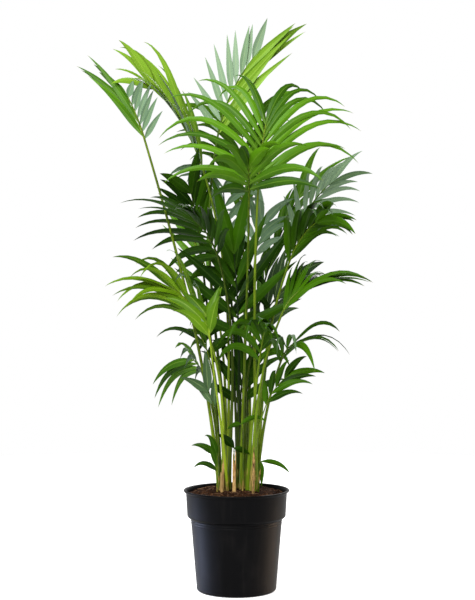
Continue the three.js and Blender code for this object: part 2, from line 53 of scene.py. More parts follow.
camera = bpy.data.cameras.new("front_view")
camera.sensor_fit = "VERTICAL"
camera.sensor_height = 24
camera.lens = camera.sensor_height * FOCAL_PIXELS / PICTURE_HEIGHT
front_view = bpy.data.objects.new("front_view", camera)
front_view.location = EYE
front_view.rotation_euler = (math.radians(90), 0, 0)
bpy.context.scene.collection.objects.link(front_view)
bpy.context.scene.camera = front_view
bpy.context.scene.view_settings.view_transform = "Standard"

# ------------------------------
# The pot: a thin-walled tub moulded in black plastic. A straight band runs below the rolled lip, the wall
# tapers to a rounded bottom edge, and the underside stands on a ring and a disc with drain holes between.

POT_SIDES = 160
POT_WALL = 0.0024
POT_BASE = 0.006
WALL_FOOT = 0.098  # outside radii: the foot and the top of the wall, then of the band
WALL_TOP = 0.1116
BAND_FOOT = 0.1205
BAND_HEAD = 0.124
BAND_BOTTOM = 0.18
BAND_TOP = 0.24
LIP_INSIDE = 0.1235
FINE_RIDGES = (0.171, 0.165)  # heights of the faint mould lines under the band
CORNER_ROUND = 0.0028
DRAIN_RING = 0.06
DRAIN_HOLE = 0.006
DRAIN_COUNT = 8
DRAIN_SIDES = 24
DRAIN_REACH = (-0.01, 0.02)  # heights between which the holes are punched

pot_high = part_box("pot")[1]
lip_radius = pot_high.x
pot_height = pot_high.z


def softened(corners, reach, steps=5):
    """A profile with its corners rounded. corners is (n, 2). Round each corner p runs the curve
    (1-t)^2 a + 2t(1-t) p + t^2 b, where a and b lie reach away from p on the two edges, or at 45% of them."""
    corners = np.asarray(corners, float)
    p, before, after = corners[1:-1], corners[:-2], corners[2:]

    def towards(q):
        edge = q - p
        length = np.linalg.norm(edge, axis=1)
        return p + edge * np.minimum(reach / length, 0.45)[:, None]

    a, b = towards(before)[:, None], towards(after)[:, None]
    t = np.linspace(0, 1, steps)[None, :, None]
    arcs = (1 - t) ** 2 * a + 2 * t * (1 - t) * p[:, None] + t**2 * b
    return np.concatenate([corners[:1], arcs.reshape(-1, 2), corners[-1:]])


def turned(profile, sides):
    """A profile of (radius, height) carried round the axis: (n, sides, 3), x = r cos a and y = r sin a."""
    angle = np.linspace(0, 2 * np.pi, sides, endpoint=False)
    r, z = profile[:, 0, None], profile[:, 1, None]
    return np.stack([r * np.cos(angle), r * np.sin(angle), z + 0 * angle], axis=-1)


def skin(rings, first=None, last=None):
    """The faces over rings (n, m, 3), each closed on itself, with a fan to the point first before them and
    to last after them. Gives the points and the faces, as quads and triangles."""
    n, m = rings.shape[:2]
    here = np.arange(n * m).reshape(n, m)
    beside = np.roll(here, -1, axis=1)
    quads = np.stack([here[:-1], beside[:-1], beside[1:], here[1:]], axis=-1).reshape(-1, 4)
    points, faces = [rings.reshape(-1, 3)], quads.tolist()
    for end, ring, flip in ((first, 0, True), (last, n - 1, False)):
        if end is not None:
            tip = np.full(m, n * m + len(points) - 1)
            fan = np.stack([here[ring], beside[ring], tip], axis=-1)
            faces += (fan[:, ::-1] if flip else fan).tolist()
            points.append(np.asarray(end, float)[None])
    return np.concatenate(points), faces


def joined(parts):
    """Several (points, faces) as one."""
    starts = np.cumsum([0] + [len(points) for points, _ in parts]).tolist()
    faces = [[start + i for i in face] for start, (_, f) in zip(starts, parts) for face in f]
    return np.concatenate([points for points, _ in parts]), faces


def new_piece(name, points, faces, *finishes, sharp=35):
    """A piece of points in metres and faces, shaded smooth but for edges that turn by over sharp degrees."""
    mesh = bpy.data.meshes.new(name)
    mesh.from_pydata(np.asarray(points).tolist(), [], faces)
    mesh.shade_smooth()
    mesh.set_sharp_from_angle(angle=math.radians(sharp))
    piece = bpy.data.objects.new(name, mesh)
    bpy.context.scene.collection.objects.link(piece)
    for finish in finishes:
        mesh.materials.append(finish)
    return piece


class Wire:
    """One node's output. Sums, differences and products with wires or numbers add their Math nodes."""

    def __init__(self, nodes, socket):
        self.nodes = nodes
        self.socket = socket

    def __add__(self, other):
        return self.nodes.math("ADD", self, other)

    def __sub__(self, other):
        return self.nodes.math("SUBTRACT", self, other)

    def __mul__(self, other):
        return self.nodes.math("MULTIPLY", self, other)

    def __rsub__(self, other):
        return self.nodes.math("SUBTRACT", other, self)

    __radd__ = __add__
    __rmul__ = __mul__

    def clamped(self):
        """Kept between 0 and 1."""
        return self.nodes.math("MINIMUM", self.nodes.math("MAXIMUM", self, 0.0), 1.0)

    def rising(self, low, high):
        """0 below low, 1 above high and a straight rise between."""
        return self.nodes.math("DIVIDE", self - low, high - low).clamped()


class Nodes:
    """The nodes of a material or of the studio's air."""

    def __init__(self, tree):
        self.tree = tree

    def node(self, kind, settings=None, sockets=None, output=0):
        """A node of a type, with its settings and its sockets' values or links."""
        made = self.tree.nodes.new(kind)
        for name, value in (settings or {}).items():
            setattr(made, name, value)
        for name, value in (sockets or {}).items():
            socket = made.inputs[name]
            if isinstance(value, Wire):
                self.tree.links.new(value.socket, socket)
            elif socket.type == "RGBA":
                socket.default_value = (*value, 1)
            else:
                socket.default_value = value
        return Wire(self, made.outputs[output])

    def math(self, operation, a, b=0.0):
        return self.node("ShaderNodeMath", {"operation": operation}, {0: a, 1: b})

    def part(self, vector, axis):
        """A vector's X, Y or Z."""
        return self.node("ShaderNodeSeparateXYZ", None, {0: vector}, output=axis)

    def places(self, stretch=(1, 1, 1)):
        """Object coordinates, in metres, times stretch."""
        coordinates = self.node("ShaderNodeTexCoord", output="Object")
        return self.node("ShaderNodeMapping", None, {"Vector": coordinates, "Scale": stretch})

    def noise(self, where, scale, detail=3.0, roughness=0.55):
        """Cloudy values round 0.5."""
        sockets = {"Vector": where, "Scale": scale, "Detail": detail, "Roughness": roughness}
        return self.node("ShaderNodeTexNoise", None, sockets, output="Fac")

    def blend(self, factor, a, b):
        """Two colours, a where the factor is 0 and b where it is 1."""
        return self.node("ShaderNodeMix", {"data_type": "RGBA"}, {0: factor, 6: a, 7: b}, output=2)

    def relief(self, height, distance, strength):
        """A Bump node: height in shares of distance, which is in metres."""
        sockets = {"Height": height, "Distance": distance, "Strength": strength}
        return self.node("ShaderNodeBump", None, sockets, output="Normal")


class Finish(Nodes):
    """A material in the making. Its constants sit on the shader's own sockets."""

    def __init__(self, name, **constants):
        self.material = bpy.data.materials.new(name)
        self.material.use_nodes = True
        super().__init__(self.material.node_tree)
        self.shader = self.tree.nodes["Principled BSDF"]
        for socket, value in constants.items():
            self.shader.inputs[socket.replace("_", " ")].default_value = value

    def feed(self, **wires):
        """The material, with wires to its shader's sockets."""
        for socket, wire in wires.items():
            self.tree.links.new(wire.socket, self.shader.inputs[socket.replace("_", " ")])
        return self.material


def black_plastic():
    """Satin black plastic: faint drawn streaks down the wall, a pebbled grain, and a little grey dust."""
    finish = Finish("black_plastic", Specular_IOR_Level=0.045)
    where = finish.places()
    cloud = finish.noise(where, 14.0)
    streak = finish.noise(finish.places((1, 1, 0.06)), 90.0, detail=2.0)
    grain = finish.noise(where, 900.0, detail=1.0)
    dust = (cloud - 0.5).rising(0.02, 0.25) * 0.35 + (streak - 0.5).rising(0.05, 0.3) * 0.3
    return finish.feed(
        Base_Color=finish.blend(dust, (0.0006, 0.0006, 0.0008), (0.006, 0.0052, 0.005)),
        Roughness=0.36 + 0.14 * cloud + 0.08 * streak,
        Normal=finish.relief(grain * 0.6 + streak * 0.4, 0.00025, 0.5),
    )


# The wall's outline as (radius, height): out along the underside, up the outside with its two fine ridges,
# over the lip, down the inside and back to the middle of the floor.
high_ridge, low_ridge = FINE_RIDGES
pot_profile = [
    (0.03, 0), (0.046, 0), (0.048, 0.0016), (0.072, 0.0016), (0.074, 0), (0.093, 0),
    (0.0975, 0.004), (WALL_FOOT, 0.012), (0.1105, 0.16),
    (0.1108, low_ridge - 0.001), (0.1117, low_ridge), (0.111, low_ridge + 0.002),
    (0.1112, high_ridge - 0.001), (0.1121, high_ridge), (0.1114, high_ridge + 0.002),
    (WALL_TOP, BAND_BOTTOM - 0.004), (BAND_FOOT, BAND_BOTTOM + 0.0015), (BAND_HEAD, BAND_TOP),
    (lip_radius, pot_height - 0.0045), (lip_radius, pot_height - 0.0006),
    (lip_radius - 0.003, pot_height), (LIP_INSIDE, pot_height - 0.0012),
    (LIP_INSIDE - POT_WALL, BAND_TOP), (BAND_FOOT - POT_WALL, BAND_BOTTOM + 0.004),
    (WALL_TOP - POT_WALL, BAND_BOTTOM - 0.002), (WALL_FOOT - POT_WALL, 0.012),
    (0.093 - POT_WALL, POT_BASE), (0.03, POT_BASE),
]
pot_rings = turned(softened(pot_profile, CORNER_ROUND), POT_SIDES)
pot = new_piece("nursery_pot", *skin(pot_rings, (0, 0, 0), (0, 0, POT_BASE)), black_plastic(), sharp=50)

# The drain holes are punched in one go, and the cut mesh is kept as the pot's own.
bottom, top = DRAIN_REACH
punch_rings = turned(np.array([[DRAIN_HOLE, bottom], [DRAIN_HOLE, top]]), DRAIN_SIDES)
punch_points, punch_faces = skin(punch_rings, (0, 0, bottom), (0, 0, top))
hole_places = turned(np.array([[DRAIN_RING, 0]]), DRAIN_COUNT)[0]
punch = new_piece("punch", *joined([(punch_points + place, punch_faces) for place in hole_places]))
drain = pot.modifiers.new("drain", "BOOLEAN")
drain.object = punch
drain.solver = "MANIFOLD"
moulded = pot.data
pot.data = bpy.data.meshes.new_from_object(pot.evaluated_get(bpy.context.evaluated_depsgraph_get()))
pot.modifiers.clear()
bpy.data.meshes.remove(moulded)
bpy.data.objects.remove(punch)

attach(pot, "root")
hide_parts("pot")

# ------------------------------
# The potting mix: brown fibrous peat, filling the tub to a low mound round the stalks. Its top is crumbly,
# with loose crumbs and short bits of coir fibre lying on it.

MIX_SIDES = 150
MIX_RINGS = 64  # over its top
MIX_MOUND = 0.072  # the radius of its level top
MIX_FALL = 0.013  # from there to the wall
LUMP_HEIGHT = 0.0025
CRUMB_COUNT = 420
FIBRE_COUNT = 150

mix_low, mix_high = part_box("potting_mix")
mix_radius = mix_high.x
mix_top = mix_high.z
mix_edge = mix_top - MIX_FALL
chance = np.random.default_rng(7)


def crumble(x, y, seed, finest=0.006, coarsest=0.04, waves=46):
    """Uneven ground, 1 at its highest: the sum of sine waves that run every way, of lengths from finest to
    coarsest, folded by abs so that it has rounded lumps and narrow clefts."""
    draws = np.random.default_rng(seed)
    length = np.geomspace(coarsest, finest, waves)
    heading = draws.uniform(0, 2 * np.pi, waves)
    start = draws.uniform(0, 2 * np.pi, waves)
    along = x[..., None] * np.cos(heading) + y[..., None] * np.sin(heading)
    height = np.sin(2 * np.pi * along / length + start) * np.sqrt(length)
    height = height.sum(-1) / np.sqrt(length.sum())
    return 1 - np.abs(height) * 1.3


def mix_height(x, y):
    """The mound: level within MIX_MOUND, then falling to the wall as fall^1.4, with lumps on it that reach
    1.2 mm below the solid's top."""
    r = np.hypot(x, y)
    fall = np.clip((r - MIX_MOUND) / (mix_radius - MIX_MOUND), 0, 1)
    return mix_top - 0.0012 - (mix_top - mix_edge) * fall**1.4 + LUMP_HEIGHT * (crumble(x, y, 3) - 1)


def peat():
    """Peat and coir: dark brown crumbs, redder and paler where dry, with straw-coloured fibres."""
    finish = Finish("peat", Roughness=0.95, Specular_IOR_Level=0.05)
    where = finish.places()
    patches = finish.noise(where, 45.0)
    crumbs = finish.noise(where, 260.0, detail=5.0, roughness=0.7)
    fibres = finish.noise(finish.places((1, 0.12, 1)), 900.0, detail=1.0)
    dry = finish.blend(patches.rising(0.38, 0.62), (0.012, 0.0038, 0.0012), (0.04, 0.015, 0.0054))
    dark = finish.blend(crumbs.rising(0.42, 0.6), (0.0045, 0.0016, 0.0007), dry)
    colour = finish.blend(fibres.rising(0.66, 0.72) * 0.6, dark, (0.09, 0.045, 0.02))
    return finish.feed(Base_Color=colour, Normal=finish.relief(crumbs + 0.4 * fibres, 0.0025, 0.8))


# The plug's outside as (radius, height), from the pot's floor up to the wall, and then its top, ring by ring.
plug = [
    (0.04, mix_low.z), (0.089, mix_low.z), (0.0946, 0.0125), (0.1076, 0.178), (0.117, 0.186),
    (mix_radius, mix_edge - 0.002),
]
over_top = [(radius, mix_edge) for radius in np.linspace(mix_radius, 0.002, MIX_RINGS)]
mix_rings = turned(np.array(plug + over_top), MIX_SIDES)
ground = mix_rings[len(plug):]
ground[..., 2] = mix_height(ground[..., 0], ground[..., 1])
summit = (0, 0, mix_height(*np.zeros(2)))
peat_finish = peat()
mix = new_piece("potting_mix_peat", *skin(mix_rings, (0, 0, mix_low.z), summit), peat_finish, sharp=60)
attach(mix, "root")
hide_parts("potting_mix")


def scattered(count, inner, outer):
    """Places on the mix, evenly spread between two radii: r = sqrt of an even draw between their squares."""
    r = np.sqrt(chance.uniform(inner**2, outer**2, count))
    angle = chance.uniform(0, 2 * np.pi, count)
    x, y = r * np.cos(angle), r * np.sin(angle)
    return np.stack([x, y, mix_height(x, y)], axis=1)


def crumbs(count):
    """Loose crumbs: squashed spheres of 4 rings of 6 points, each point pushed in or out at random."""
    ring = np.linspace(0.5, 3.5, 4)[:, None] * np.pi / 4
    turn = np.arange(6)[None] * np.pi / 3
    x, y, z = np.sin(ring) * np.cos(turn), np.sin(ring) * np.sin(turn), np.cos(ring) + 0 * turn
    ball = np.stack([x, y, z], axis=-1)
    size = chance.uniform(0.0009, 0.0026, (count, 1, 1, 1)) * chance.uniform(0.6, 1.3, (count, 1, 1, 3))
    lumps = ball[None] * size * chance.uniform(0.75, 1.2, (count, 4, 6, 1))
    lumps = lumps[:, ::-1] + scattered(count, 0.0, mix_radius - 0.004)[:, None, None]
    return joined([skin(lump, lump[0].mean(0), lump[-1].mean(0)) for lump in lumps])


crumb_piece = new_piece("peat_crumbs", *crumbs(CRUMB_COUNT), peat_finish)
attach(crumb_piece, "root")


def coir():
    """Coir and bark bits: dry straw brown, darker in places."""
    finish = Finish("coir", Roughness=0.85, Specular_IOR_Level=0.3)
    where = finish.places()
    patches = finish.noise(where, 120.0)
    colour = finish.blend(patches.rising(0.35, 0.65), (0.036, 0.016, 0.006), (0.12, 0.062, 0.026))
    return finish.feed(Base_Color=colour, Normal=finish.relief(finish.noise(where, 1500.0), 0.0004, 0.5))


def unit(v):
    """Vectors (..., 3) at length 1."""
    return v / np.linalg.norm(v, axis=-1, keepdims=True)


def tubes(paths, radii, sides, up=(0, 0, 1)):
    """Round bars (k, n, sides, 3) along k paths of n points: at each point a circle of its radius, square to
    the path's way there. The first point of each circle lies towards up."""
    way = unit(np.gradient(paths, axis=1))
    top = np.broadcast_to(np.asarray(up, float), way.shape)
    top = unit(top - (top * way).sum(-1, keepdims=True) * way)
    across = np.cross(way, top)
    angle = np.linspace(0, 2 * np.pi, sides, endpoint=False)[:, None]
    circle = np.cos(angle) * top[:, :, None] + np.sin(angle) * across[:, :, None]
    return paths[:, :, None] + circle * radii[..., None, None]


def fibres(count):
    """Short curved bits of fibre lying on the mix, each a three-sided bar of 6 points. The line is bowed as
    s^2, s from -0.5 to 0.5 along it, and its radius falls to a fifth at the ends as 1 - 0.8 (2s)^4."""
    middle = scattered(count, 0.02, mix_radius - 0.012)[:, None]
    heading = chance.uniform(0, 2 * np.pi, (count, 1))
    s = np.linspace(-0.5, 0.5, 6)[None]
    length = chance.uniform(0.008, 0.024, (count, 1))
    bow = chance.uniform(-0.35, 0.35, (count, 1)) * s**2 * 4
    x = length * (s * np.cos(heading) - bow * np.sin(heading))
    y = length * (s * np.sin(heading) + bow * np.cos(heading))
    paths = middle + np.stack([x, y, 0 * x], axis=-1)
    paths[..., 2] = np.maximum(mix_height(paths[..., 0], paths[..., 1]), middle[..., 2] - 0.001) + 0.0006
    radii = chance.uniform(0.0003, 0.0007, (count, 1)) * (1 - (2 * s) ** 4 * 0.8)
    return joined([skin(rings, rings[0].mean(0), rings[-1].mean(0)) for rings in tubes(paths, radii, 3)])


fibre_piece = new_piece("coir_fibres", *fibres(FIBRE_COUNT), coir())
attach(fibre_piece, "root")

# ------------------------------
# The dead sheaths: what is left of cut stalks, standing in the mix at the front of the clump. Each is a dry
# curled strip, open at the back, with its fibres torn to shreds at the top.

# Foot and top of each, then its width and depth, in metres. Some of the places came from a search program.
SHEATHS = {
    "tan": ((-0.0061, -0.044, 0.205), (-0.0048, -0.056, 0.349), 0.009, 0.006),
    "frayed": ((0.0398, -0.059, 0.205), (0.0418, -0.089, 0.372), 0.007, 0.005),
    "brown": ((-0.036, -0.05, 0.205), (-0.03, -0.053, 0.345), 0.0065, 0.0035),
    "short": ((-0.0376, -0.041, 0.205), (-0.0351, -0.047, 0.3), 0.008, 0.005),
}
SHEATH_WALL = 0.0007
SHEATH_LINES = 12  # lines of fibre on its outer skin, and as many on its inner one
SHEATH_STEPS = 14


def dry_sheath(name, pale, dark):
    """Dry palm sheath: straw to brown, with fine streaks along its fibres and darker patches."""
    finish = Finish(name, Roughness=0.8, Specular_IOR_Level=0.1)
    streak = finish.noise(finish.places((1, 1, 0.04)), 700.0)
    patches = finish.noise(finish.places((1, 1, 0.5)), 70.0)
    colour = finish.blend((streak * 0.6 + patches * 0.5).rising(0.42, 0.66), dark, pale)
    return finish.feed(Base_Color=colour, Normal=finish.relief(streak, 0.0006, 0.7))


def curled_strip(foot, top, width, depth, seed):
    """A strip curled round an oval, as rings of a closed section: the outer skin runs 300 degrees round, and
    the inner skin runs back a wall's thickness inside. Each line of fibre ends at its own height, between
    0.67 and 1 of the whole, and leans out as t^4 towards the top."""
    draws = np.random.default_rng(seed)
    outer = np.linspace(-240, 60, SHEATH_LINES)
    angle = np.radians(np.concatenate([outer, outer[::-1]]))
    wall = np.repeat([0, SHEATH_WALL], SHEATH_LINES)
    reach = np.interp(outer, outer[[0, 3, 5, 8, 11]], draws.uniform(0.72, 1.0, 5))
    reach = reach + draws.uniform(-0.05, 0, SHEATH_LINES)
    t = np.linspace(0, 1, SHEATH_STEPS)[:, None]
    height = t * np.concatenate([reach, reach[::-1]])
    narrowing = 1.08 - 0.35 * t**2 + 0.06 * np.sin(9 * t + seed)
    x = (width / 2 * narrowing - wall) * np.cos(angle)
    y = (depth / 2 * narrowing - wall) * np.sin(angle)
    foot, top = np.asarray(foot), np.asarray(top)
    spread = 0.0018 * t**4 * draws.uniform(-1, 1, 2 * SHEATH_LINES)
    axis = foot + height[..., None] * (top - foot)
    return axis + np.stack([x + spread, y, 0 * x], axis=-1)


def walled(rings):
    """A strip's closed section carried along, shut at both ends by faces from its outer to its inner skin."""
    points, faces = skin(rings)
    n, m = rings.shape[:2]
    one = np.arange(m // 2 - 1)
    end = np.stack([one, one + 1, m - 2 - one, m - 1 - one], axis=1)
    return points, faces + end[:, ::-1].tolist() + (end + (n - 1) * m).tolist()


straw = dry_sheath("straw_sheath", (0.38, 0.255, 0.095), (0.13, 0.062, 0.018))
brown = dry_sheath("brown_sheath", (0.26, 0.165, 0.055), (0.028, 0.013, 0.005))
for number, (name, (foot, top, width, depth)) in enumerate(SHEATHS.items()):
    points, faces = walled(curled_strip(foot, top, width, depth, number + 1))
    piece = new_piece(f"dead_sheath_{name}", points, faces, brown if name in ("frayed", "brown") else straw)
    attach(piece, "root")
    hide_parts(f"sheath_{name}")

# ------------------------------
# The fronds: each is a firm round stalk that turns into a midrib with two rows of long folded leaflets, all
# grown in one piece. Five seedlings share the pot, each with its stalks in a ring, and four young shoots
# stand round them.

# Where the seedlings and the shoots stand, and the ring that a seedling's stalks share.
SEEDLINGS = {
    "left": (-0.029, -0.014),
    "right": (0.036, -0.016),
    "middle": (0.013, 0.011),
    "back_left": (-0.028, 0.04),
    "back_right": (0.037, 0.038),
    "shoot_left": (-0.047, -0.034),
    "shoot_inner": (-0.004, -0.03),
    "shoot_front": (0.0146, -0.035),
    "shoot_right": (0.05, -0.037),
}
RING_RADIUS = 0.0125
RING_START = 20
FOOT_HEIGHT = 0.197

